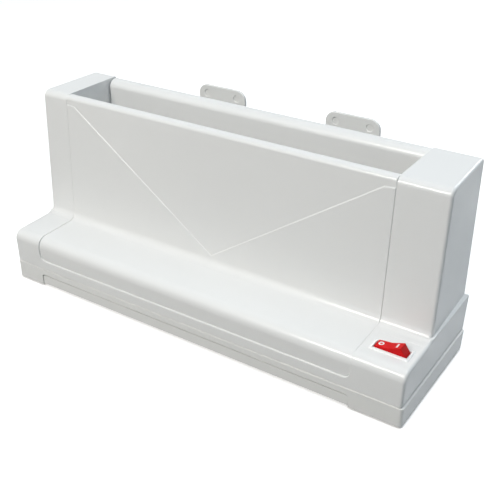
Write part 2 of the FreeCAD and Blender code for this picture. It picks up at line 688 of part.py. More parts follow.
def make_heater_fittings():
    group("heating_element", [box("element", (-136.0, 110.0), (77.0, 93.0), (D.element_low, D.plate_low))])
    straps = []
    for number, x in enumerate(STRAP_SPOTS, start=1):
        strap = box(f"strap_{number}", (x - 6, x + 6), (68.0, 102.0), (D.strap_low, D.element_low))
        holes = [rod(f"strap_{number}_hole_{place}", "z", (x, y), D.screw_radius + 0.15, 20.0, 30.0)
                 for place, y in enumerate(STRAP_SCREW_ROWS, start=1)]
        straps.append(cut(f"drilled_strap_{number}", strap, holes))
    group("clamp_straps", straps)
    spots = [(x, y) for x in STRAP_SPOTS for y in STRAP_SCREW_ROWS]
    screws("clamp_screws", "z", spots, D.strap_low - 2, D.strap_low, D.plate_low + 3.2)

    pillars = []
    for number, spot in enumerate(STANDOFF_SPOTS, start=1):
        pillar = rod(f"pillar_{number}", "z", spot, 4.5, D.shield_top, D.plate_low)
        pilot = rod(f"pillar_{number}_pilot", "z", spot, D.screw_radius + 0.05, D.shield_top - 1, 24.0)
        pillars.append(cut(f"standoff_{number}", pillar, [pilot]))
    group("plate_standoffs", pillars)
    screws("standoff_screws", "z", STANDOFF_SPOTS, D.floor_low, D.floor_low + 1.6, 23.5)

    body = new_body("heat_shield")
    front, rear, rise = 64.2, 105.8, 24.0
    thick = D.shield_top - D.floor_top
    outline = [(front, D.floor_top), (rear, D.floor_top), (rear, rise), (rear - thick, rise),
               (rear - thick, D.shield_top), (front + thick, D.shield_top), (front + thick, rise),
               (front, rise)]
    prism(body, "Pad", "shield_profile", "YZ_Plane", [outline], -160.0, 147.5)
    drum(body, "Pocket", "shield_holes", "XY_Plane", STANDOFF_SPOTS, D.screw_radius + 0.15,
         D.floor_top - 1, D.shield_top + 1)
    finish(body, "heat_shield")


def make_heat_control():
    x, y = THERMOSTAT_SPOT
    can = rod("thermostat_can", "z", (x, y), 8.5, D.plate_low - 8, D.plate_low)
    flange = box("thermostat_flange", (x - 5, x + 5), (y - 15, y + 15), (D.plate_low - 1.2, D.plate_low))
    spots = [(x, y + offset) for offset in (-12.0, 12.0)]
    holes = [rod(f"thermostat_hole_{number}", "z", spot, D.screw_radius + 0.15, 25.0, 31.0)
             for number, spot in enumerate(spots, start=1)]
    finish(cut("thermostat_cut", join("thermostat_solid", [can, flange]), holes), "thermostat")
    screws("thermostat_screws", "z", spots, D.plate_low - 3.2, D.plate_low - 1.2, D.plate_low + 3.2)

    fuse_x, fuse_z = -146.0, 27.2
    block = box("fuse_block", (fuse_x - 5, fuse_x + 5), (81.0, 89.0), (24.4, D.plate_low))
    bore = rod("fuse_bore", "y", (fuse_x, fuse_z), 2.05, 80.0, 90.0)
    finish(cut("fuse_bracket_cut", block, [bore]), "fuse_bracket")
    group("thermal_fuse", [rod("fuse", "y", (fuse_x, fuse_z), 2.0, 76.0, 94.0)])


# Switch, inlet and wiring

def make_switch_housing():
    body = new_body("switch_housing")
    x, y = D.switch_x, D.switch_y
    prism(body, "Pad", "switch_case", "XY_Plane", [rectangle(x - 14.1, x + 14.1, y - 6.3, y + 6.3)],
          24.0, D.pad_height + 0.5)
    prism(body, "Pad", "bezel", "XY_Plane", [rectangle(x - 15.4, x + 15.4, y - 7.5, y + 7.5)],
          D.pad_height, D.bezel_top)
    prism(body, "Pocket", "switch_well", "XY_Plane", [rectangle(x - 13.3, x + 13.3, y - 4.6, y + 4.6)],
          30.0, D.bezel_top + 1)
    drum(body, "Pocket", "pivot_holes", "XZ_Plane", [(x, D.pivot_height)], 1.25, y - 5.8, y + 5.8)
    slots = [rectangle(x + place - 0.45, x + place + 0.45, y - 2.45, y + 2.45) for place in (-8, 0, 8)]
    prism(body, "Pocket", "terminal_slots", "XY_Plane", slots, 23.0, 31.0)
    return finish(body, "switch_housing")


def make_switch_rocker():
    body = new_body("switch_rocker")
    outline = [(-10.2, 9.3), (0, 8.1), (10.2, 9.3), (12.5, 3.4), (10.0, -1.5), (3.0, -3.5),
               (-3.0, -3.5), (-10.0, -1.5), (-12.5, 3.4)]
    prism(body, "Pad", "rocker_profile", "XZ_Plane", [outline], -4.3, 4.3)
    drum(body, "Pad", "trunnions", "XZ_Plane", [(0, 0)], 1.2, -5.6, 5.6)
    drum(body, "Pocket", "plunger_bore", "XY_Plane", [(0, 0)], 1.55, -4.5, 0.0)
    pivot = (D.switch_x, D.switch_y, D.pivot_height)
    finish(body, "switch_rocker", pivot, Rotation(Vector(0, -1, 0), D.throw.number / 2))

    plunger = new_body("rocker_plunger")
    drum(plunger, "Pad", "plunger", "XY_Plane", [(0, 0)], 1.5, -7.8, -0.3)
    finish(plunger, "rocker_plunger", pivot, Rotation(Vector(0, -1, 0), D.throw.number / 2))

    lever = new_body("contact_lever")
    prism(lever, "Pad", "lever_plan", "XY_Plane", [rectangle(-9.6, 9.6, -1.6, 1.6)], 0, 0.8)
    drum(lever, "Pad", "lever_pivot", "XZ_Plane", [(0, 0)], D.lever_pivot, -1.6, 1.6)
    seat = (D.switch_x, D.switch_y, D.lever_height)
    finish(lever, "contact_lever", seat, Rotation(Vector(0, 1, 0), D.lever_throw.number / 2))


def make_switch_terminals():
    tabs = []
    for number, (place, top) in enumerate(((-8, 32.2), (0, 32.4), (8, 32.2)), start=1):
        x = D.switch_x + place
        width = (D.switch_y - 2.4, D.switch_y + 2.4)
        tabs.append(box(f"tab_{number}", (x - 0.4, x + 0.4), width, (15.0, top)))
    group("switch_terminals", tabs)


def make_power_inlet():
    body = new_body("power_inlet")
    x, z = D.switch_x, D.inlet_height
    prism(body, "Pad", "inlet_case", "XZ_Plane", [rectangle(x - 11.5, x + 11.5, z - 7, z + 7)],
          100.0, D.body_depth + 1)
    prism(body, "Pad", "inlet_flange", "XZ_Plane", [rectangle(x - 18.5, x + 18.5, z - 8.5, z + 8.5)],
          D.body_depth, D.body_depth + 2)
    half = D.pin_spacing / 2
    prism(body, "Pocket", "socket_middle", "XZ_Plane", [rectangle(x - half, x + half, z - 4.4, z + 4.4)],
          D.body_depth - 10, D.body_depth + 3)
    for name, spot in (("socket_left", x - half), ("socket_right", x + half)):
        drum(body, "Pocket", name, "XZ_Plane", [(spot, z)], 4.4, D.body_depth - 10, D.body_depth + 3)
    pins = [(x - half, z), (x + half, z)]
    drum(body, "Pocket", "pin_holes", "XZ_Plane", pins, 1.25, 99.0, 112.0)
    drum(body, "Pocket", "inlet_holes", "XZ_Plane", INLET_SCREWS, D.screw_radius + 0.15,
         D.body_depth - 1, D.body_depth + 3)
    finish(body, "power_inlet")
    group("inlet_pins", [rod(f"pin_{number}", "y", spot, 1.2, 94.0, D.body_depth - 1)
                         for number, spot in enumerate(pins, start=1)])
    screws("inlet_screws", "y", INLET_SCREWS, D.body_depth + 4, D.body_depth + 2, D.body_depth - 6)


def make_wiring():
    poles = (166.8, 175.4)
    tabs = (163.1, 171.1)
    block = box("block", (160.0, 180.0), (66.0, 84.0), (D.wall, 22.0))
    ports = [rod(f"port_{number}", "y", (x, 17.0), 1.6, 65.0, 85.0)
             for number, x in enumerate(poles, start=1)]
    finish(cut("terminal_block_cut", block, ports), "terminal_block")
    leads("inlet_leads", [[(x, 94, 35), (x, 78, 35), (x, 78, 22)] for x in poles])
    leads("switch_leads", [[(pole, 66, 9), (pole, 50, 9), (tab, 36, 9), (tab, 21.5, 9), (tab, 21.5, 15)]
                           for pole, tab in zip(poles, tabs)])
    element_end = (104, 83, D.element_low.number)
    leads("heater_leads", [[(160, 81, 20), (132.6, 81, 20)],
                           [(160, 76.2, 20), (116, 76.2, 20), (104, 83, 20), element_end]])


def check_document():
    doc.recompute()
    for item in doc.Objects:
        if "Invalid" in item.State or "Error" in item.State:
            raise RuntimeError(f"{item.Name} failed: {item.State}")
    for item in nodes:
        if item.Shape.isNull() or not item.Shape.isValid():
            raise RuntimeError(f"{item.Label} has no valid shape")


def main():
    make_upper_housing()
    make_front_panel()
    make_rear_guide_panel()
    make_rear_cover()
    screws("cover_screws", "y", COVER_SCREWS, D.body_depth + 0.4, D.body_depth - 1.4, 112.0)
    make_front_guide_plate()
    make_base_tray()
    screws("housing_screws", "z", POST_SPOTS, 1.4, 3.4, 18.0)
    make_feet()
    make_rack_tray()
    left_middle, right_middle = upright_middles()
    make_upright("rack_upright_left", left_middle)
    make_upright("rack_upright_right", right_middle)
    make_rack_fittings()
    make_heater_plate()
    make_heater_fittings()
    make_heat_control()
    make_switch_housing()
    make_switch_rocker()
    make_switch_terminals()
    make_power_inlet()
    make_wiring()
    check_document()
    os.makedirs("parts", exist_ok=True)
    for item in nodes:
        item.Shape.exportStep(f"parts/{item.Label}.step")
        print(item.Label, len(item.Shape.Solids), round(item.Shape.Volume), item.Shape.BoundBox)


main()
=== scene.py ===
import bmesh
import bpy
import json
import math
from mathutils import Matrix, Vector


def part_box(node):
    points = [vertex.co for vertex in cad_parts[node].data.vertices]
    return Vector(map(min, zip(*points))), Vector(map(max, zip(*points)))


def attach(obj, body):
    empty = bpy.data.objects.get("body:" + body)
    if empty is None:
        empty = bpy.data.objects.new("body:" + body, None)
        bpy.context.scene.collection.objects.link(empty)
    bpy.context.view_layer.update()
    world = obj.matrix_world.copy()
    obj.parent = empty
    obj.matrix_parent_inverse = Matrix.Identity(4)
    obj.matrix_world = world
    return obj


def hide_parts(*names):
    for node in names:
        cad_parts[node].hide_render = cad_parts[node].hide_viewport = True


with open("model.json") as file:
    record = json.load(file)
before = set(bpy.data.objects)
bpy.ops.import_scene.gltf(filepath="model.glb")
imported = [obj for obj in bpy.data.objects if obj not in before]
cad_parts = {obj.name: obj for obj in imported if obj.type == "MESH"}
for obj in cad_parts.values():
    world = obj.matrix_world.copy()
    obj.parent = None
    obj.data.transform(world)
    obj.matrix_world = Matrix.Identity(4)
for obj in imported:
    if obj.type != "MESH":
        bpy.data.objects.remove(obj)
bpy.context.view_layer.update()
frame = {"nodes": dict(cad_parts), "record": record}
scene = bpy.context.scene
mm = 0.001
near = 0.2  # a point this close to a plane counts as lying on it, in millimetres
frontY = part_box("base_tray")[0].y  # the machine's front face
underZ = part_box("base_tray")[0].z  # the underside of its base


def spot(x, y, z):  # millimetres from the base's front underside, to metres in the frame
    return Vector((x * mm, frontY + y * mm, underZ + z * mm))


def fromFrame(point):  # the other way round
    return Vector((point.x, point.y - frontY, point.z - underZ)) / mm


def within(values, ranges):  # every value inside its own (low, high) range
    return all(low < value < high for value, (low, high) in zip(values, ranges))


# finishes

noiseRange = (0.3, 0.7)  # where most values of a noise texture lie


def newFinish(name):
    finish = bpy.data.materials.new(name)
    finish.use_nodes = True
    tree = finish.node_tree
    coords = tree.nodes.new("ShaderNodeTexCoord").outputs["Object"]
    return finish, tree, tree.nodes["Principled BSDF"], coords


def addNode(tree, kind, links=(), **settings):
    node = tree.nodes.new(kind)
    for key, setting in settings.items():
        setattr(node, key, setting)
    for socket, source in links:
        if hasattr(source, "is_linked"):
            tree.links.new(source, node.inputs[socket])
        else:
            node.inputs[socket].default_value = source
    return node


def stretched(tree, coords, scale):
    return addNode(tree, "ShaderNodeMapping", [("Vector", coords), ("Scale", scale)]).outputs["Vector"]


def noise(tree, coords, scale, detail):
    links = [("Vector", coords), ("Scale", scale), ("Detail", detail)]
    return addNode(tree, "ShaderNodeTexNoise", links).outputs["Fac"]


def ramp(tree, factor, low, high):
    node = addNode(tree, "ShaderNodeValToRGB", [("Fac", factor)])
    for element, place, colour in zip(node.color_ramp.elements, noiseRange, (low, high)):
        element.position = place
        element.color = (*colour, 1.0)
    return node.outputs["Color"]


def spread(tree, factor, low, high):
    limits = zip(("From Min", "From Max", "To Min", "To Max"), (*noiseRange, low, high))
    return addNode(tree, "ShaderNodeMapRange", [("Value", factor), *limits]).outputs["Result"]


def dents(tree, shader, height, depth):
    node = addNode(tree, "ShaderNodeBump", [("Height", height), ("Distance", depth)])
    tree.links.new(node.outputs["Normal"], shader.inputs["Normal"])


def mouldedFinish(name, look):  # plastic, paint or rubber, with a fine grain
    finish, tree, shader, coords = newFinish(name)
    cloud = noise(tree, coords, look["cloud"], 3.0)
    tree.links.new(ramp(tree, cloud, look["shade"], look["colour"]), shader.inputs["Base Color"])
    grain = noise(tree, coords, look["grain"], 2.0)
    smear = noise(tree, coords, look["cloud"] * 4, 4.0)  # four times finer than the cloud
    tree.links.new(spread(tree, smear, *look["roughness"]), shader.inputs["Roughness"])
    dents(tree, shader, grain, look["depth"])
    shader.inputs["Specular IOR Level"].default_value = look.get("specular", 0.5)
    shader.inputs["Coat Weight"].default_value = look.get("coat", 0.0)
    shader.inputs["Coat Roughness"].default_value = look.get("coatRoughness", 0.1)
    return finish


def metalFinish(name, look):  # drawn or plated metal, streaked where its three scales differ
    finish, tree, shader, coords = newFinish(name)
    streak = noise(tree, stretched(tree, coords, look["streak"]), 1.0, 3.0)
    tree.links.new(ramp(tree, streak, look["shade"], look["colour"]), shader.inputs["Base Color"])
    tree.links.new(spread(tree, streak, *look["roughness"]), shader.inputs["Roughness"])
    dents(tree, shader, streak, look["depth"])
    shader.inputs["Metallic"].default_value = 1.0
    return finish


mouldedLooks = {
    "housing_white": dict(colour=(0.84, 0.843, 0.838), shade=(0.825, 0.828, 0.823), cloud=9.0, grain=2600.0,
                          roughness=(0.38, 0.46), depth=0.000008, coat=0.3, coatRoughness=0.12),
    "base_white": dict(colour=(0.82, 0.82, 0.805), shade=(0.805, 0.805, 0.79), cloud=9.0, grain=2600.0,
                       roughness=(0.4, 0.48), depth=0.00001, coat=0.35, coatRoughness=0.13),
    "rack_white": dict(colour=(0.82, 0.82, 0.805), shade=(0.805, 0.805, 0.79), cloud=11.0, grain=2200.0,
                       roughness=(0.4, 0.48), depth=0.00001, coat=0.35, coatRoughness=0.13),
    "switch_white": dict(colour=(0.91, 0.91, 0.91), shade=(0.895, 0.895, 0.895), cloud=40.0, grain=3000.0,
                         roughness=(0.22, 0.28), depth=0.000004),
    "rocker_red": dict(colour=(0.7, 0.008, 0.01), shade=(0.66, 0.007, 0.009), cloud=60.0, grain=3000.0,
                       roughness=(0.3, 0.38), depth=0.000004, specular=0.1),
    "mark_white": dict(colour=(0.86, 0.86, 0.85), shade=(0.82, 0.82, 0.81), cloud=200.0, grain=2500.0,
                       roughness=(0.4, 0.5), depth=0.000006),
    "black_plastic": dict(colour=(0.02, 0.02, 0.021), shade=(0.015, 0.015, 0.016), cloud=30.0, grain=2400.0,
                          roughness=(0.42, 0.52), depth=0.00002),
    "rubber_grey": dict(colour=(0.055, 0.055, 0.055), shade=(0.04, 0.04, 0.041), cloud=50.0, grain=1600.0,
                        roughness=(0.7, 0.85), depth=0.00004, specular=0.3),
    "guide_paint": dict(colour=(0.87, 0.875, 0.875), shade=(0.855, 0.86, 0.86), cloud=12.0, grain=700.0,
                        roughness=(0.3, 0.4), depth=0.00003),
    "insulator": dict(colour=(0.3, 0.2, 0.11), shade=(0.22, 0.14, 0.075), cloud=300.0, grain=1800.0,
                      roughness=(0.5, 0.62), depth=0.00003),
    "lead_insulation": dict(colour=(0.6, 0.58, 0.53), shade=(0.55, 0.53, 0.48), cloud=120.0, grain=1500.0,
                            roughness=(0.55, 0.65), depth=0.00003),
}
metalLooks = {
    "plate_aluminium": dict(colour=(0.78, 0.785, 0.79), shade=(0.68, 0.685, 0.69),
                            streak=(30.0, 2500.0, 2500.0), roughness=(0.26, 0.38), depth=0.00002),
    "sheet_steel": dict(colour=(0.62, 0.62, 0.63), shade=(0.5, 0.5, 0.515), streak=(260.0, 260.0, 260.0),
                        roughness=(0.28, 0.42), depth=0.00001),
    "screw_steel": dict(colour=(0.66, 0.66, 0.67), shade=(0.5, 0.5, 0.52), streak=(900.0, 900.0, 900.0),
                        roughness=(0.25, 0.4), depth=0.00001),
    "contact_brass": dict(colour=(0.74, 0.54, 0.24), shade=(0.62, 0.43, 0.17), streak=(600.0, 90.0, 600.0),
                          roughness=(0.22, 0.36), depth=0.00001),
}
finishes = {name: mouldedFinish(name, look) for name, look in mouldedLooks.items()}
finishes.update({name: metalFinish(name, look) for name, look in metalLooks.items()})
nodeSlots = {part["node"]: part["material_slot"] for part in frame["record"]["subparts"]}
for nodeName, nodeObject in frame["nodes"].items():
    nodeObject.data.materials.clear()
    nodeObject.data.materials.append(finishes[nodeSlots[nodeName]])
print("finishes made:", len(finishes))


# mesh helpers

flatAngle = math.radians(0.6)  # faces that turn less than this become one
sharpAngle = math.radians(32)  # edges that turn more than this can be rounded
nodeGap, easedGap = 0.002, 0.01  # points closer than this become one, in millimetres
corners = ((-1, -1), (1, -1), (1, 1), (-1, 1))  # in order round a rectangle


def newObject(name, mesh):
    made = bpy.data.objects.new(name, mesh)
    scene.collection.objects.link(made)
    return made


def fromBmesh(name, bm):
    mesh = bpy.data.meshes.new(name)
    bm.to_mesh(mesh)
    bm.free()
    return newObject(name, mesh)


def settle(made):  # turns the modifiers' result into the object's plain mesh
    graph = bpy.context.evaluated_depsgraph_get()
    mesh = bpy.data.meshes.new_from_object(made.evaluated_get(graph))
    made.modifiers.clear()
    made.data = mesh
    return made


def shade(made, angle=30.0):  # smooth faces, with the large flat ones keeping their direction
    made.data.shade_smooth()
    made.data.set_sharp_from_angle(angle=math.radians(angle))
    weighting = made.modifiers.new("weighting", "WEIGHTED_NORMAL")
    weighting.keep_sharp = True
    return settle(made)


def dress(made, body, slot, replaced=()):
    made.data.materials.clear()
    made.data.materials.append(finishes[slot])
    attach(made, body)
    if replaced:
        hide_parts(*replaced)


def cleaned(bm, gap):
    bmesh.ops.remove_doubles(bm, verts=bm.verts, dist=gap * mm)
    bmesh.ops.dissolve_limit(bm, angle_limit=flatAngle, verts=bm.verts, edges=bm.edges)
    return bm


def mergedCopy(nodeName):
    bm = bmesh.new()
    bm.from_mesh(frame["nodes"][nodeName].data)
    return cleaned(bm, nodeGap)


def softCopy(nodeName, name, rule, segments=3, ease=None):  # the node's shape, with sharp edges rounded
    bm = mergedCopy(nodeName)
    if ease:
        for vert in bm.verts:
            vert.co = spot(*ease(fromFrame(vert.co)))
        cleaned(bm, easedGap)
    layer = bm.edges.layers.float.new("bevel_weight_edge")
    widths = {}
    for edge in bm.edges:
        if len(edge.link_faces) == 2 and edge.calc_face_angle(0.0) > sharpAngle:
            middle = fromFrame((edge.verts[0].co + edge.verts[1].co) / 2)
            widths[edge.index] = rule(middle, edge)
    widest = max(widths.values())
    bm.edges.ensure_lookup_table()
    for index, width in widths.items():
        bm.edges[index][layer] = width / widest
    made = fromBmesh(name, bm)
    bevel = made.modifiers.new("rounding", "BEVEL")
    bevel.limit_method = "WEIGHT"
    bevel.width = widest * mm
    bevel.segments = segments
    bevel.use_clamp_overlap = False
    bevel.loop_slide = False
    return shade(settle(made))


def roundedOutline(places, step=8.0):  # (u, v, radius) corners to points, with each round as an arc
    points = []
    for index, (u, v, radius) in enumerate(places):
        here = Vector((u, v))
        before = (Vector(places[index - 1][:2]) - here).normalized()
        after = (Vector(places[(index + 1) % len(places)][:2]) - here).normalized()
        if radius <= 0:
            points.append(here)
            continue
        half = before.angle(after) / 2
        centre = here + (before + after).normalized() * radius / math.sin(half)
        first = here + before * radius / math.tan(half) - centre
        last = here + after * radius / math.tan(half) - centre
        start = math.atan2(first.y, first.x)
        sweep = (math.atan2(last.y, last.x) - start + math.pi) % (2 * math.pi) - math.pi
        count = max(2, round(abs(math.degrees(sweep)) / step))
        for place in range(count + 1):
            angle = start + sweep * place / count
            points.append(centre + Vector((math.cos(angle), math.sin(angle))) * radius)
    return points


def insetOutline(points, depth):  # each point moved inwards along its mitre, for an anticlockwise outline
    moved = []
    for index, here in enumerate(points):
        ahead = (points[(index + 1) % len(points)] - here).normalized()
        behind = (here - points[index - 1]).normalized()
        along = (ahead + behind).normalized()
        inward = Vector((-along.y, along.x))
        moved.append(here + inward * depth / max(0.5, along.dot(ahead)))  # at most twice the depth
    return moved


def bridge(bm, first, second):  # a band of faces between two closed loops of points
    for index in range(len(first)):
        after = (index + 1) % len(first)
        bm.faces.new((first[index], first[after], second[after], second[index]))


def sweptBar(name, outline, ends, endRounds, shift=None, steps=8):  # a y-z outline swept along x, round ends
    area = sum(a.x * b.y - b.x * a.y for a, b in zip(outline, outline[1:] + outline[:1]))
    points = outline if area > 0 else outline[::-1]
    shift = shift or (lambda point: 0.0)
    bm = bmesh.new()
    rings = []
    for end, endRound, direction in zip(ends, endRounds, (1, -1)):
        sections = []
        for place in range(steps + 1):
            angle = math.pi / 2 * place / steps
            inner = insetOutline(points, endRound * (1 - math.sin(angle)))
            x = end + direction * endRound * (1 - math.cos(angle))
            sections.append([bm.verts.new(spot(x + direction * shift(here), point.x, point.y))
                             for here, point in zip(points, inner)])
        rings += sections if direction == 1 else sections[::-1]
    for ring, following in zip(rings, rings[1:]):
        bridge(bm, ring, following)
    bm.faces.new(rings[0][::-1])
    bm.faces.new(rings[-1])
    bmesh.ops.recalc_face_normals(bm, faces=bm.faces)
    return fromBmesh(name, bm)


def hullCutter(name, places):
    bm = bmesh.new()
    for place in places:
        bm.verts.new(spot(*place))
    bmesh.ops.convex_hull(bm, input=bm.verts)
    return fromBmesh(name, bm)


def carve(made, cutter, operation="DIFFERENCE"):
    boolean = made.modifiers.new("carving", "BOOLEAN")
    boolean.operation = operation
    boolean.object = cutter
    boolean.solver = "EXACT"
    settle(made)
    bpy.data.objects.remove(cutter)


# housing and panels

housing = {"slotLeft": -162.0, "slotRight": 149.5, "slotMargin": 0.5, "seam": 16.9, "back": 118.4,
           "bandTop": 25.8, "lipClimb": 6.0, "bandLip": 1.2, "sideLips": (0.15, 0.5), "well": (0.5, 60.0),
           "seamRound": 0.35, "backRound": 0.9, "ledgeFront": 46.6, "ledgeSlope": 0.0254,
           "padFloor": ((150.0, 191.0), (8.0, 39.0), (46.75, 46.85)), "padEdges": (8.7, 36.5),
           "padRims": ((152.0, 190.0), (8.0, 38.0), (46.0, 48.0)), "padSteps": (0.1, 0.2), "padRound": 0.2,
           "stepHeight": 49.2, "side": 192.0, "sideStart": 186.0, "leftDraw": 0.5, "rightDraw": 1.2}


def inSlot(middle):  # between the two end blocks
    margin = housing["slotMargin"]
    return housing["slotLeft"] - margin < middle.x < housing["slotRight"] + margin


def housingRule(middle, edge):
    if not edge.is_convex:
        return 0.0
    if middle.z < housing["seam"] + near:
        return housing["seamRound"]
    lipTop = housing["bandTop"] + housing["lipClimb"]
    sideLip = housing["sideLips"][middle.x > 0]
    wellFront, wellBack = housing["well"]
    if inSlot(middle) and wellFront < middle.y < wellBack and middle.z < lipTop + near:
        return 0.0
    if inSlot(middle) and abs(middle.y) < near and middle.z < lipTop:
        climb = max(0.0, (middle.z - housing["bandTop"]) / housing["lipClimb"])
        return housing["bandLip"] * (1 - climb) + sideLip * climb
    if min(abs(middle.x - housing["slotLeft"]), abs(middle.x - housing["slotRight"])) < near:
        return sideLip
    if abs(middle.y - housing["back"]) < near:
        return housing["backRound"]
    return housing["padRound"] if within(middle, housing["padRims"]) else 0.0


def easeHousing(point):  # a shallow switch seat that follows the ledge, and sides drawn in above the seam
    if within(point, housing["padFloor"]):
        front, rear = housing["padEdges"]
        rise, sink = housing["padSteps"]
        share = (point.y - front) / (rear - front)
        ledge = housing["ledgeFront"] + point.y * housing["ledgeSlope"]
        return Vector((point.x, point.y, ledge + rise * (1 - share) - sink * share))
    drop = (housing["stepHeight"] - point.z) / (housing["stepHeight"] - housing["seam"])
    low = min(1.0, max(0.0, drop))
    out = max(0.0, (abs(point.x) - housing["sideStart"]) / (housing["side"] - housing["sideStart"]))
    draw = housing["rightDraw"] if point.x > 0 else -housing["leftDraw"]
    return Vector((point.x - draw * low * out, point.y, point.z))


housingShell = softCopy("upper_housing", "housingShell", housingRule, ease=easeHousing)
dress(housingShell, "machine", "housing_white", ["upper_housing"])

panelAngle = 14.0  # both panels are shaded smooth up to this turn, in degrees
panel = {"left": -161.95, "right": 149.45, "reveal": 1.0, "sink": 0.15, "flush": 0.05, "proud": 0.3,
         "wall": 2.5, "bottom": 25.85, "bottomRound": 0.2, "ledgeFront": 46.6, "ledgeRear": 47.8,
         "wallLow": 47.3, "wallTop": 54.3, "top": 163.3, "rimInner": 62.0, "rimWall": 2.2, "lipDrop": 14.0,
         "noseRound": 9.6, "coveRound": 7.5, "rimRound": 4.0, "rimInnerRound": 1.5, "lipRound": 0.3,
         "insideRounds": (1.0, 2.0, 5.0, 4.0, 0), "edgeRounds": (0.8, 0.6), "cornerRound": 6.0,
         "cornerSteps": 8}
crease = {"depth": 0.45, "widths": (0.65, 0.65, 0.7, 1.2, 1.2), "top": 155.4, "apex": 56.3, "inset": 8.5,
          "rise": 0.8, "overrun": 2.0, "faceHeights": (51.5, 159.0), "faceSkin": 0.9, "pointLow": 50.0,
          "pointSkin": 0.95, "rimLow": 161.0, "rimMargin": 0.3, "lineGap": 0.01, "cutGap": 0.001}


def panelCornerShift(point):  # how far the panel's two lower corners round off at a height
    drop = panel["bottom"] + panel["cornerRound"] - max(point.y, panel["bottom"])
    if drop <= 0:
        return 0.0
    return panel["cornerRound"] - math.sqrt(max(0.0, panel["cornerRound"] ** 2 - drop ** 2))


def frontPanelOutline():
    inner = panel["reveal"] + panel["wall"]
    lip = panel["rimInner"] - panel["rimWall"]
    lipLow = panel["top"] - panel["lipDrop"]
    under = panel["top"] - panel["wall"]
    lean = (panel["reveal"] - panel["flush"]) / (panel["ledgeFront"] - panel["bottom"])
    front = [(panel["reveal"], panel["bottom"], panel["bottomRound"])]
    for place in range(1, panel["cornerSteps"] + 1):
        rise = panel["cornerRound"] * place / panel["cornerSteps"]
        front.append((panel["reveal"] - lean * rise, panel["bottom"] + rise, 0))
    outside = [(panel["flush"], panel["ledgeFront"] - panel["sink"], panel["noseRound"]),
               (panel["wallLow"] - panel["proud"], panel["ledgeRear"] - panel["sink"], panel["coveRound"]),
               (panel["wallTop"] - panel["proud"], panel["top"], panel["rimRound"]),
               (panel["rimInner"], panel["top"], panel["rimInnerRound"]),
               (panel["rimInner"], lipLow, panel["lipRound"]), (lip, lipLow, panel["lipRound"])]
    inside = [(lip, under), (panel["wallTop"] + inner, under),
              (panel["wallLow"] + inner, panel["ledgeRear"] - inner), (inner, panel["ledgeFront"] - inner),
              (inner, panel["bottom"])]
    rounded = [(*place, radius) for place, radius in zip(inside, panel["insideRounds"])]
    return roundedOutline(front + outside + rounded)


def creasePath():  # (x, z, width) along the V, from end to end
    left, right = panel["left"], panel["right"]
    inset, overrun = crease["inset"], crease["overrun"]
    xs = (left - overrun, left + inset, (left + right) / 2, right - inset, right + overrun)
    endTop = crease["top"] + crease["rise"]
    zs = (endTop, crease["top"], crease["apex"], crease["top"], endTop)
    return list(zip(xs, zs, crease["widths"]))


def wallDepth(point):  # how far a point lies behind the panel's leaning wall
    low = panel["ledgeRear"] - panel["sink"]
    climb = (point.z - low) / (panel["top"] - low)
    return point.y - (panel["wallLow"] - panel["proud"] + (panel["wallTop"] - panel["wallLow"]) * climb)


def foldCrease(made):  # the field above the V lies a little deeper, behind a sloping edge
    bm = bmesh.new()
    bm.from_mesh(made.data)
    path = creasePath()
    gap = crease["cutGap"] * mm
    for x, z, width in path[1:-1]:
        bmesh.ops.bisect_plane(bm, geom=bm.verts[:] + bm.edges[:] + bm.faces[:], plane_co=spot(x, 0, 0),
                               plane_no=(1, 0, 0), dist=gap)
    for (x, z, width), (nextX, nextZ, nextWidth) in zip(path, path[1:]):
        for share in (0, 1):  # the sloping edge's upper line, then its lower line
            wall = []
            for face in bm.faces:
                middle = fromFrame(face.calc_center_median())
                onWall = abs(wallDepth(middle)) < crease["faceSkin"]
                if onWall and within((middle.x, middle.z), ((x, nextX), crease["faceHeights"])):
                    wall.append(face)
            edges = list({edge for face in wall for edge in face.edges})
            verts = list({vert for face in wall for vert in face.verts})
            rise = (nextZ - share * nextWidth) - (z - share * width)
            bmesh.ops.bisect_plane(bm, geom=verts + edges + wall, plane_co=spot(x, 0, z - share * width),
                                   plane_no=(-rise, 0, nextX - x), dist=gap)
    rimBack = panel["wallTop"] + panel["rimRound"] + crease["rimMargin"]
    for vert in bm.verts:
        here = fromFrame(vert.co)
        onRim = here.z > crease["rimLow"] and here.y < rimBack
        if here.z < crease["pointLow"] or not (onRim or wallDepth(here) < crease["pointSkin"]):
            continue
        for (x, z, width), (nextX, nextZ, nextWidth) in zip(path, path[1:]):
            line = z + (nextZ - z) * (here.x - x) / (nextX - x)
            if x <= here.x <= nextX and here.z > line - crease["lineGap"]:
                vert.co.y += crease["depth"] * mm
                break
    bm.to_mesh(made.data)
    bm.free()
    return made


frontSkin = foldCrease(sweptBar("frontPanelSkin", frontPanelOutline(), (panel["left"], panel["right"]),
                                panel["edgeRounds"], panelCornerShift))
dress(shade(frontSkin, panelAngle), "machine", "housing_white", ["front_panel"])

rearGuide = {"left": -160.8, "right": 148.9, "face": 108.0, "back": 118.4, "top": 163.0, "wall": 2.5,
             "bottom": 13.7, "noseRound": 7.0, "backRound": 1.2, "lipDrop": 14.0, "lipRound": 0.3,
             "underRounds": (1.0, 4.5), "endRounds": (0.8, 0.8)}


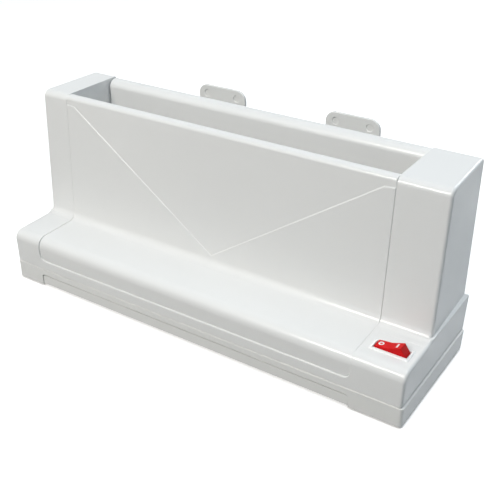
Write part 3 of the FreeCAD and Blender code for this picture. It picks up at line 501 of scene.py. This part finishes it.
def rearGuideOutline():
    face, back, top, bottom = (rearGuide[key] for key in ("face", "back", "top", "bottom"))
    inner, lip = face + rearGuide["wall"], back - rearGuide["wall"]
    under, lipLow = top - rearGuide["wall"], top - rearGuide["lipDrop"]
    rearRound, frontRound = rearGuide["underRounds"]
    return roundedOutline([
        (face, bottom, 0), (face, top, rearGuide["noseRound"]), (back, top, rearGuide["backRound"]),
        (back, lipLow, rearGuide["lipRound"]), (lip, lipLow, rearGuide["lipRound"]), (lip, under, rearRound),
        (inner, under, frontRound), (inner, bottom, 0)])


rearSkin = sweptBar("rearGuideSkin", rearGuideOutline(), (rearGuide["left"], rearGuide["right"]),
                    rearGuide["endRounds"])
dress(shade(rearSkin, panelAngle), "machine", "housing_white", ["rear_guide_panel"])
print("housing and panels made")


# base and cooling rack

base = {"top": 16.5, "topRound": 0.8, "sideTopRound": 0.6, "underRound": 0.3, "tunnelRound": 0.15,
        "tunnelLimit": 11.2, "sideFrom": 189.0, "frontTo": 0.3, "backFrom": 115.0, "segments": 6,
        "sideSlope": (190.5, 193.5, 0.386), "sideCut": (-3.0, 121.0), "frontSlope": (0.45, -2.0, 1.29),
        "frontCut": (-195.0, 195.0), "cutRise": 3.0, "shadeAngle": 18.0}


def baseRule(middle, edge):
    if not edge.is_convex:
        return 0.0
    onFront = middle.y < base["frontTo"]
    onBack = middle.y > base["backFrom"]
    if inSlot(middle) and middle.z < base["tunnelLimit"]:
        return base["tunnelRound"] if onFront or onBack else 0.0
    if not (onFront or onBack or abs(middle.x) > base["sideFrom"]):
        return 0.0
    if middle.z <= base["top"] - near:
        return base["underRound"]
    if onFront or middle.x > base["sideFrom"]:
        return 0.0  # slopeRims shapes these two rims
    return base["sideTopRound"] if middle.x < -base["sideFrom"] else base["topRound"]


def slopeSection(start, end, fall):  # what lies over a rim that falls from its start to its end
    top, over = base["top"], base["top"] + base["cutRise"]
    return [(start, over), (start, top), (end, top - fall * abs(end - start)), (end, over)]


def slopeRims(made):  # the rims under the seam fall away outwards, on the right and at the front
    section = slopeSection(*base["sideSlope"])
    carve(made, hullCutter("sideSlopeCut", [(x, y, z) for y in base["sideCut"] for x, z in section]))
    section = slopeSection(*base["frontSlope"])
    carve(made, hullCutter("frontSlopeCut", [(x, y, z) for x in base["frontCut"] for y, z in section]))
    return shade(made, base["shadeAngle"])


baseShell = slopeRims(softCopy("base_tray", "baseShell", baseRule, segments=base["segments"]))
dress(baseShell, "machine", "base_white", ["base_tray"])

rack = {"edgeRound": 0.3, "shortest": 2.2, "stripBack": 4.0, "stripLow": 1.5, "stripHigh": 4.0,
        "stripDrop": 0.4, "stripShift": 0.3, "uprightRound": 0.7, "uprightLow": 9.0, "markFloor": 161.4,
        "markReach": 0.05, "markLow": 140.0, "markSink": 0.6}


def rackRule(middle, edge):
    return rack["edgeRound"] if edge.is_convex and edge.calc_length() > rack["shortest"] * mm else 0.0


def easeStrip(point):  # the strip moves down and right, for wider gaps over it and at its left end
    if point.y > rack["stripBack"] or point.z < rack["stripLow"]:
        return point
    drop = rack["stripDrop"] if point.z > rack["stripHigh"] else 0.0
    return Vector((point.x + rack["stripShift"], point.y, point.z - drop))


rackSkin = softCopy("rack_tray", "rackTraySkin", rackRule, ease=easeStrip)
dress(rackSkin, "rack", "rack_white", ["rack_tray"])


def uprightRule(middle, edge):
    return rack["uprightRound"] if edge.is_convex and middle.z > rack["uprightLow"] else 0.0


def sinkMarks(point):  # deeper round marks near the top
    onMark = abs(point.y - rack["markFloor"]) < rack["markReach"] and point.z > rack["markLow"]
    return Vector((point.x, point.y + rack["markSink"] * onMark, point.z))


for side in ("left", "right"):
    upright = softCopy(f"rack_upright_{side}", f"rackUpright_{side}", uprightRule, ease=sinkMarks)
    dress(upright, "rack", "rack_white", [f"rack_upright_{side}"])
print("base and cooling rack made")


# switch

switch = {"pivot": (171.1, 21.5, 42.2), "tilt": 13.0, "halfBezel": (15.4, 7.5), "bezelLow": 46.9,
          "bezelRound": 1.1, "mouthRound": 0.3, "bezelTop": 47.5, "bezelDrop": 0.8, "lipOuter": (13.7, 5.0),
          "lipInner": (12.5, 4.5), "lipHeights": (47.0, 47.5), "rockerRound": 0.35, "rockerLow": 42.0,
          "rockerHalf": 4.5, "shoulder": (10.0, -1.5), "shoulderReach": 0.1, "skirt": (12.9, 0.8),
          "crown": 9.3, "waist": 8.1, "reach": 10.2}
marks = {"ringPlace": -6.6, "ringRadius": 1.6, "ringWidth": 1.15, "ringSteps": 28, "barPlace": 6.2,
         "barLength": 4.6, "barWidth": 1.4, "barRound": 0.12, "barStep": 30.0, "lift": 0.05}
pivotX, pivotY, pivotZ = switch["pivot"]


def bezelRule(middle, edge):
    if not edge.is_convex or middle.z < switch["bezelLow"]:
        return 0.0
    halfLength, halfWidth = switch["halfBezel"]
    outer = abs(middle.x - pivotX) > halfLength - near or abs(middle.y - pivotY) > halfWidth - near
    return switch["bezelRound"] if outer else switch["mouthRound"]


def bezelLip():  # a thin flange that narrows the mouth over the rocker's ends
    bm = bmesh.new()
    loops = []
    for halfLength, halfWidth in (switch["lipOuter"], switch["lipInner"]):
        for height in switch["lipHeights"]:
            loops.append([bm.verts.new(spot(pivotX + u * halfLength, pivotY + v * halfWidth, height))
                          for u, v in corners])
    for first, second in ((0, 1), (1, 3), (3, 2), (2, 0)):  # outer wall, top, inner wall, underside
        bridge(bm, loops[first], loops[second])
    bmesh.ops.recalc_face_normals(bm, faces=bm.faces)
    return fromBmesh("bezelLip", bm)


def lowerBezel(point):
    drop = switch["bezelDrop"] if point.z > switch["bezelTop"] else 0.0
    return Vector((point.x, point.y, point.z - drop))


bezel = softCopy("switch_housing", "switchBezel", bezelRule, ease=lowerBezel)
carve(bezel, bezelLip(), "UNION")
shade(bezel)
dress(bezel, "machine", "switch_white", ["switch_housing"])


def rockerRule(middle, edge):
    onCap = middle.z > switch["rockerLow"] and abs(middle.y - pivotY) < switch["rockerHalf"]
    return switch["rockerRound"] if edge.is_convex and onCap else 0.0


def rockerSkirt(point):  # the ends run down along their own swing, so the gap beside them stays narrow
    tilt = Matrix.Rotation(math.radians(switch["tilt"]), 2)
    local = tilt.inverted() @ Vector((point.x - pivotX, point.z - pivotZ))
    out, height = switch["shoulder"]
    if max(abs(abs(local.x) - out), abs(local.y - height)) > switch["shoulderReach"]:
        return point
    out, height = switch["skirt"]
    moved = tilt @ Vector((math.copysign(out, local.x), height))
    return Vector((moved.x + pivotX, point.y, moved.y + pivotZ))


rockerCap = softCopy("switch_rocker", "rockerCap", rockerRule, ease=rockerSkirt)
dress(rockerCap, "rocker", "rocker_red", ["switch_rocker"])


def rockerMark(bm, place, makeFlat):  # a printed mark lying on one of the rocker's two top faces
    rise = switch["crown"] - switch["waist"]
    slope = math.copysign(math.atan2(rise, switch["reach"]), place)
    height = switch["waist"] + rise * abs(place) / switch["reach"]
    tilt = Matrix.Rotation(math.radians(-switch["tilt"]), 4, "Y")
    onFace = Matrix.Translation(Vector((place, 0, height)) * mm) @ Matrix.Rotation(-slope, 4, "Y")
    before = set(bm.verts)
    makeFlat(bm)
    fresh = [vert for vert in bm.verts if vert not in before]
    bmesh.ops.transform(bm, matrix=Matrix.Translation(spot(*switch["pivot"])) @ tilt @ onFace, verts=fresh)


def flatSolid(bm, loops):  # from an outer loop and, for a ring, its inner loop
    levels = [[[bm.verts.new(Vector((u, v, level)) * mm) for u, v in loop] for loop in loops]
              for level in (-marks["lift"], marks["lift"])]
    for below, above in zip(*levels):
        bridge(bm, below, above)
    for level in levels:
        if len(level) == 1:
            bm.faces.new(level[0])
        else:
            bridge(bm, *level)


def ringMark(bm):
    turns = [math.tau * step / marks["ringSteps"] for step in range(marks["ringSteps"])]
    radii = [marks["ringRadius"] + half * marks["ringWidth"] for half in (0.5, -0.5)]
    loops = [[(math.cos(turn) * radius, math.sin(turn) * radius) for turn in turns] for radius in radii]
    flatSolid(bm, loops)


def barMark(bm):
    halfWidth, halfLength = marks["barWidth"] / 2, marks["barLength"] / 2
    places = [(u * halfWidth, v * halfLength, marks["barRound"]) for u, v in corners]
    flatSolid(bm, [roundedOutline(places, marks["barStep"])])


markMesh = bmesh.new()
rockerMark(markMesh, marks["ringPlace"], ringMark)
rockerMark(markMesh, marks["barPlace"], barMark)
bmesh.ops.recalc_face_normals(markMesh, faces=markMesh.faces)
rockerMarks = fromBmesh("rockerMarks", markMesh)
rockerMarks.data.materials.append(finishes["mark_white"])
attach(rockerMarks, "rocker")
print("switch made")


# back and slot fittings

fittings = {"coverRound": 0.5, "ventRound": 0.35, "ventField": ((-106.0, 93.5), (43.0, 65.0)),
            "inletRound": 0.6, "socketRound": 0.35, "socketHalf": (17.0, 8.0), "socketHeight": 35.0,
            "socketFront": 117.9, "pinRound": 0.5, "plateRound": 0.4, "sheetRound": 0.25}


def coverRule(middle, edge):
    if not edge.is_convex:
        return 0.0
    vented = within((middle.x, middle.z), fittings["ventField"])
    return fittings["ventRound"] if vented else fittings["coverRound"]


def inletRule(middle, edge):  # the inlet lies straight behind the switch
    if not edge.is_convex or middle.y < fittings["socketFront"]:
        return 0.0
    halfWidth, halfHeight = fittings["socketHalf"]
    flange = abs(middle.x - pivotX) > halfWidth or abs(middle.z - fittings["socketHeight"]) > halfHeight
    return fittings["inletRound"] if flange else fittings["socketRound"]


def evenRule(width):
    return lambda middle, edge: width if edge.is_convex else 0.0


fittingPieces = (("rear_cover", "rearCoverPlate", coverRule), ("power_inlet", "inletSocket", inletRule),
                 ("inlet_pins", "inletPins", evenRule(fittings["pinRound"])),
                 ("heater_plate", "heaterPlate", evenRule(fittings["plateRound"])),
                 ("front_guide_plate", "guidePlate", evenRule(fittings["sheetRound"])))
for nodeName, pieceName, rule in fittingPieces:
    dress(softCopy(nodeName, pieceName, rule), "machine", nodeSlots[nodeName], [nodeName])
print("back and slot fittings made")


# screws, feet and vent lips

turnedSides, domeRings, footSides = 40, 44, 48
shankOverlap = 0.2  # the share of a screw head's height that its shank runs into
grownAngle = 40.0  # grown pieces are rounded, or stay sharp, where they turn more than this in degrees


def islandBoxes(nodeName):  # lowest and highest corner of each separate solid in a node, in millimetres
    bm = mergedCopy(nodeName)
    boxes, seen = [], set()
    for start in bm.verts:
        if start in seen:
            continue
        island = [start]
        seen.add(start)
        for vert in island:
            for edge in vert.link_edges:
                other = edge.other_vert(vert)
                if other not in seen:
                    seen.add(other)
                    island.append(other)
        axes = list(zip(*(fromFrame(vert.co) for vert in island)))
        boxes.append((Vector([min(axis) for axis in axes]), Vector([max(axis) for axis in axes])))
    bm.free()
    return sorted(boxes, key=lambda box: tuple(round(value, 2) for value in box[0]))


def newTree(name, labels, made):  # places in, pieces out, and one named input for each size
    tree = bpy.data.node_groups.new(name, "GeometryNodeTree")
    tree.interface.new_socket("Places", in_out="INPUT", socket_type="NodeSocketGeometry")
    for label in labels:
        tree.interface.new_socket(label, in_out="INPUT", socket_type="NodeSocketFloat")
    tree.interface.new_socket(made, in_out="OUTPUT", socket_type="NodeSocketGeometry")
    return tree, tree.nodes.new("NodeGroupInput").outputs


def reckoned(tree, operation, first, second):
    return addNode(tree, "ShaderNodeMath", [(0, first), (1, second)], operation=operation).outputs[0]


def sized(tree, first, factor):
    return reckoned(tree, "MULTIPLY", first, factor)


def summed(tree, first, second):
    return reckoned(tree, "ADD", first, second)


def triple(tree, x, y, z):
    return addNode(tree, "ShaderNodeCombineXYZ", [("X", x), ("Y", y), ("Z", z)]).outputs[0]


def lifted(tree, geometry, z):
    links = [("Geometry", geometry), ("Translation", triple(tree, 0.0, 0.0, z))]
    return addNode(tree, "GeometryNodeTransform", links).outputs["Geometry"]


def disc(tree, radius, depth, low):  # a round bar from a low level upwards
    links = [("Vertices", turnedSides), ("Radius", radius), ("Depth", depth)]
    bar = addNode(tree, "GeometryNodeMeshCylinder", links).outputs["Mesh"]
    return lifted(tree, bar, summed(tree, low, sized(tree, depth, 0.5)))


def block(tree, x, y, z):
    return addNode(tree, "GeometryNodeMeshCube", [("Size", triple(tree, x, y, z))]).outputs["Mesh"]


def merged(tree, operation, others, first=None):
    links = [("Mesh 1", first)] if first else []
    links += [("Mesh 2", mesh) for mesh in others]
    node = addNode(tree, "GeometryNodeMeshBoolean", links, operation=operation, solver="EXACT")
    return node.outputs["Mesh"]


def placed(tree, given, piece, finish, turn=0.0):  # one piece on each place, as real geometry
    angles = triple(tree, turn, 0.0, 0.0)
    turned = addNode(tree, "FunctionNodeEulerToRotation", [("Euler", angles)]).outputs[0]
    links = [("Points", given["Places"]), ("Instance", piece), ("Rotation", turned)]
    copies = addNode(tree, "GeometryNodeInstanceOnPoints", links).outputs["Instances"]
    real = addNode(tree, "GeometryNodeRealizeInstances", [("Geometry", copies)]).outputs["Geometry"]
    painted = addNode(tree, "GeometryNodeSetMaterial", [("Geometry", real), ("Material", finish)])
    end = tree.nodes.new("NodeGroupOutput")
    tree.links.new(painted.outputs["Geometry"], end.inputs[0])


def screwTree(labels):
    tree, given = newTree("crossHeadScrews", labels, "Screws")
    headLow = sized(tree, given["Head Height"], -1.0)
    head = disc(tree, given["Head Radius"], given["Head Height"], headLow)
    links = [("Segments", turnedSides), ("Rings", domeRings), ("Radius", given["Dome Radius"])]
    ball = addNode(tree, "GeometryNodeMeshUVSphere", links).outputs["Mesh"]
    dome = lifted(tree, ball, sized(tree, given["Dome Radius"], -1.0))
    cap = merged(tree, "INTERSECT", [head, dome])
    depth = sized(tree, given["Recess Depth"], 2.0)
    arms = [block(tree, given["Recess Span"], given["Recess Width"], depth),
            block(tree, given["Recess Width"], given["Recess Span"], depth)]
    driven = merged(tree, "DIFFERENCE", arms, cap)
    shankLow = sized(tree, summed(tree, given["Head Height"], given["Shank Length"]), -1.0)
    overlap = summed(tree, given["Shank Length"], sized(tree, given["Head Height"], shankOverlap))
    shank = disc(tree, given["Shank Radius"], overlap, shankLow)
    placed(tree, given, merged(tree, "UNION", [driven, shank]), finishes["screw_steel"], given["Turn"])
    return tree


def footTree(labels):
    tree, given = newTree("cuppedFeet", labels, "Feet")
    narrow = summed(tree, given["Foot Radius"], sized(tree, given["Taper"], -1.0))
    links = [("Vertices", footSides), ("Radius Top", given["Foot Radius"]), ("Radius Bottom", narrow),
             ("Depth", given["Foot Height"])]
    body = addNode(tree, "GeometryNodeMeshCone", links).outputs["Mesh"]
    cupLow = sized(tree, given["Cup Depth"], -1.0)
    cup = disc(tree, given["Cup Radius"], sized(tree, given["Cup Depth"], 2.0), cupLow)
    placed(tree, given, merged(tree, "DIFFERENCE", [cup], body), finishes["rubber_grey"])
    return tree


def lipTree(labels):
    tree, given = newTree("ventLips", labels, "Lips")
    wider = summed(tree, given["Slot Width"], sized(tree, given["Lip Width"], 2.0))
    taller = summed(tree, given["Slot Height"], sized(tree, given["Lip Width"], 2.0))
    outer = block(tree, wider, sized(tree, given["Lip Height"], 2.0), taller)
    inner = block(tree, given["Slot Width"], sized(tree, given["Lip Height"], 4.0), given["Slot Height"])
    placed(tree, given, merged(tree, "DIFFERENCE", [inner], outer), finishes["housing_white"])
    return tree


def grow(name, tree, places, sizes, edgeRound=0.0):  # runs a node tree on places and keeps the plain mesh
    mesh = bpy.data.meshes.new(name)
    mesh.from_pydata([spot(*place) for place in places], [], [])
    made = newObject(name, mesh)
    nodes = made.modifiers.new("repeated", "NODES")
    nodes.node_group = tree
    for item in tree.interface.items_tree:
        if item.in_out == "INPUT" and item.name in sizes:
            nodes[item.identifier] = sizes[item.name] * (1.0 if item.name == "Turn" else mm)
    settle(made)
    if edgeRound:
        bevel = made.modifiers.new("rounding", "BEVEL")
        bevel.width = edgeRound * mm
        bevel.segments = 2
        bevel.angle_limit = math.radians(grownAngle)
        settle(made)
    return shade(made, grownAngle)


screw = {"Head Radius": 2.75, "Dome Radius": 4.4, "Shank Radius": 1.45, "Recess Span": 3.3,
         "Recess Width": 0.8, "Recess Depth": 1.0}
screwSets = {  # piece name, body, which way the heads face, and the head's height
    "cover_screws": ("coverScrews", "machine", "back", 1.8),
    "inlet_screws": ("inletScrews", "machine", "back", 2.0),
    "housing_screws": ("housingScrews", "machine", "under", 2.0),
    "rack_screws": ("rackScrews", "rack", "under", 1.8),
}
screwNodes = screwTree([*screw, "Head Height", "Shank Length", "Turn"])
for nodeName, (pieceName, body, facing, headHeight) in screwSets.items():
    boxes = islandBoxes(nodeName)
    middles = [(low + high) / 2 for low, high in boxes]
    span = boxes[0][1] - boxes[0][0]
    if facing == "back":
        places = [(middle.x, high.y, middle.z) for middle, (low, high) in zip(middles, boxes)]
        reach, turn = span.y, -math.pi / 2
    else:
        places = [(middle.x, middle.y, low.z) for middle, (low, high) in zip(middles, boxes)]
        reach, turn = span.z, math.pi
    sizes = {**screw, "Head Height": headHeight, "Shank Length": reach - headHeight, "Turn": turn}
    dress(grow(pieceName, screwNodes, places, sizes), body, nodeSlots[nodeName], [nodeName])

foot = {"Taper": 0.5, "Cup Radius": 3.4, "Cup Depth": 0.6}
footRound = 0.25
footNodes = footTree([*foot, "Foot Radius", "Foot Height"])
footSets = (("rubber_feet", "rubberFeet", "machine"), ("rack_feet", "rackFeet", "rack"))
for nodeName, pieceName, body in footSets:
    boxes = islandBoxes(nodeName)
    places = [((low.x + high.x) / 2, (low.y + high.y) / 2, low.z) for low, high in boxes]
    span = boxes[0][1] - boxes[0][0]
    sizes = {**foot, "Foot Radius": span.x / 2, "Foot Height": span.z}
    dress(grow(pieceName, footNodes, places, sizes, footRound), body, nodeSlots[nodeName], [nodeName])

vents = {"first": -103.75, "pitch": 7.5, "count": 27, "middle": 54.0, "lipRound": 0.15}
lip = {"Slot Width": 3.6, "Slot Height": 20.6, "Lip Width": 0.6, "Lip Height": 0.3}
ventPlaces = [(vents["first"] + vents["pitch"] * place, housing["back"], vents["middle"])
              for place in range(vents["count"])]
dress(grow("ventLips", lipTree(lip), ventPlaces, lip, vents["lipRound"]), "machine", "housing_white")
print("screws, feet and vent lips made")


# stage, light and camera

def seenDirectly(tree):  # camera, mirror and glass rays
    path = tree.nodes.new("ShaderNodeLightPath").outputs
    seen = reckoned(tree, "MAXIMUM", path["Is Camera Ray"], path["Is Glossy Ray"])
    return reckoned(tree, "MAXIMUM", seen, path["Is Transmission Ray"])


def grey(level):
    return (level, level, level, 1.0)


stage = {"size": 30.0, "bounce": 0.2, "shown": 0.9, "glow": 0.63, "contact": 0.003}
floorMesh = bmesh.new()
bmesh.ops.create_grid(floorMesh, x_segments=2, y_segments=2, size=stage["size"] / 2)
floor = fromBmesh("studioFloor", floorMesh)
floorFinish, floorTree, floorShader = newFinish("studioPaper")[:3]
floorTree.nodes.remove(floorShader)
bounceLight = addNode(floorTree, "ShaderNodeBsdfDiffuse", [("Color", grey(stage["bounce"]))]).outputs[0]
shownLight = addNode(floorTree, "ShaderNodeBsdfDiffuse", [("Color", grey(stage["shown"]))]).outputs[0]
# ambient occlusion dims the floor's glow under and beside the machine: a painted contact shadow, not one
# cast by the lamps
contact = addNode(floorTree, "ShaderNodeAmbientOcclusion", [("Distance", stage["contact"])])
glowWithPaintedShadow = sized(floorTree, contact.outputs["AO"], stage["glow"])
glow = addNode(floorTree, "ShaderNodeEmission", [("Strength", glowWithPaintedShadow)]).outputs[0]
shownSum = addNode(floorTree, "ShaderNodeAddShader", [(0, shownLight), (1, glow)]).outputs[0]
floorLinks = [(0, seenDirectly(floorTree)), (1, bounceLight), (2, shownSum)]
floorMix = addNode(floorTree, "ShaderNodeMixShader", floorLinks)
floorTree.links.new(floorMix.outputs[0], floorTree.nodes["Material Output"].inputs["Surface"])
floor.data.materials.append(floorFinish)

skyLight = {"colour": (0.66, 0.87, 1.0), "strength": 0.185}
world = bpy.data.worlds.new("studio")
world.use_nodes = True
scene.world = world
worldTree = world.node_tree
sky = worldTree.nodes["Background"]
sky.inputs["Color"].default_value = (*skyLight["colour"], 1.0)
sky.inputs["Strength"].default_value = skyLight["strength"]
backdrop = addNode(worldTree, "ShaderNodeBackground", [("Color", grey(1.0)), ("Strength", 1.0)])
worldLinks = [(0, seenDirectly(worldTree)), (1, sky.outputs[0]), (2, backdrop.outputs[0])]
worldMix = addNode(worldTree, "ShaderNodeMixShader", worldLinks)
worldTree.links.new(worldMix.outputs[0], worldTree.nodes["World Output"].inputs["Surface"])

lamps = {
    "keyStrip": dict(place=(-0.305, -1.23, 1.04), aim=(0.17, -0.08, 0.05), size=(0.4, 0.11), power=9.4,
                     colour=(1.0, 0.94, 0.865)),
    "frontBox": dict(place=(-0.3, -1.5, 1.3), aim=(0.0, 0.0, 0.1), size=(0.7, 0.6), power=4.3,
                     colour=(1.0, 0.97, 0.92)),
    "overheadPanel": dict(place=(0.27, -0.1, 1.62), aim=(0.27, -0.2, 0.0), size=(0.4, 1.2), power=11.4,
                          colour=(0.915, 0.96, 1.0)),
    "backStrip": dict(place=(0.5, 1.36, 0.87), aim=(0.15, 0.0, 0.1), size=(0.8, 0.08), power=4.4,
                      colour=(0.96, 0.985, 1.0)),
    "leftBox": dict(place=(-1.6, -0.6, 0.6), aim=(-0.1, 0.0, 0.08), size=(0.8, 0.8), power=3.4,
                    colour=(1.0, 0.93, 0.82)),
}
for lampName, lamp in lamps.items():
    light = bpy.data.lights.new(lampName, "AREA")
    light.shape = "RECTANGLE"
    light.size, light.size_y = lamp["size"]
    light.energy = lamp["power"]
    light.color = lamp["colour"]
    lampObject = newObject(lampName, light)
    lampObject.location = lamp["place"]
    beam = Vector(lamp["aim"]) - Vector(lamp["place"])
    lampObject.rotation_euler = beam.to_track_quat("-Z", "Y").to_euler()

shot = {"place": (0.3508, -0.51365, 0.3994), "azimuth": 33.57, "elevation": 29.42, "roll": -0.183,
        "lens": 59.49, "sensor": 36.0, "nearest": 0.01}
cameraData = bpy.data.cameras.new("photoCamera")
cameraData.lens = shot["lens"]
cameraData.sensor_width = shot["sensor"]
cameraData.clip_start = shot["nearest"]
camera = newObject("photoCamera", cameraData)
azimuth, elevation, roll = (math.radians(shot[key]) for key in ("azimuth", "elevation", "roll"))
sight = Vector((-math.sin(azimuth) * math.cos(elevation), math.cos(azimuth) * math.cos(elevation),
                -math.sin(elevation)))
viewTurn = sight.to_track_quat("-Z", "Y").to_matrix() @ Matrix.Rotation(roll, 3, "Z")
camera.matrix_world = Matrix.Translation(shot["place"]) @ viewTurn.to_4x4()
scene.camera = camera
scene.view_settings.view_transform = "Standard"
print("stage, light and camera made")
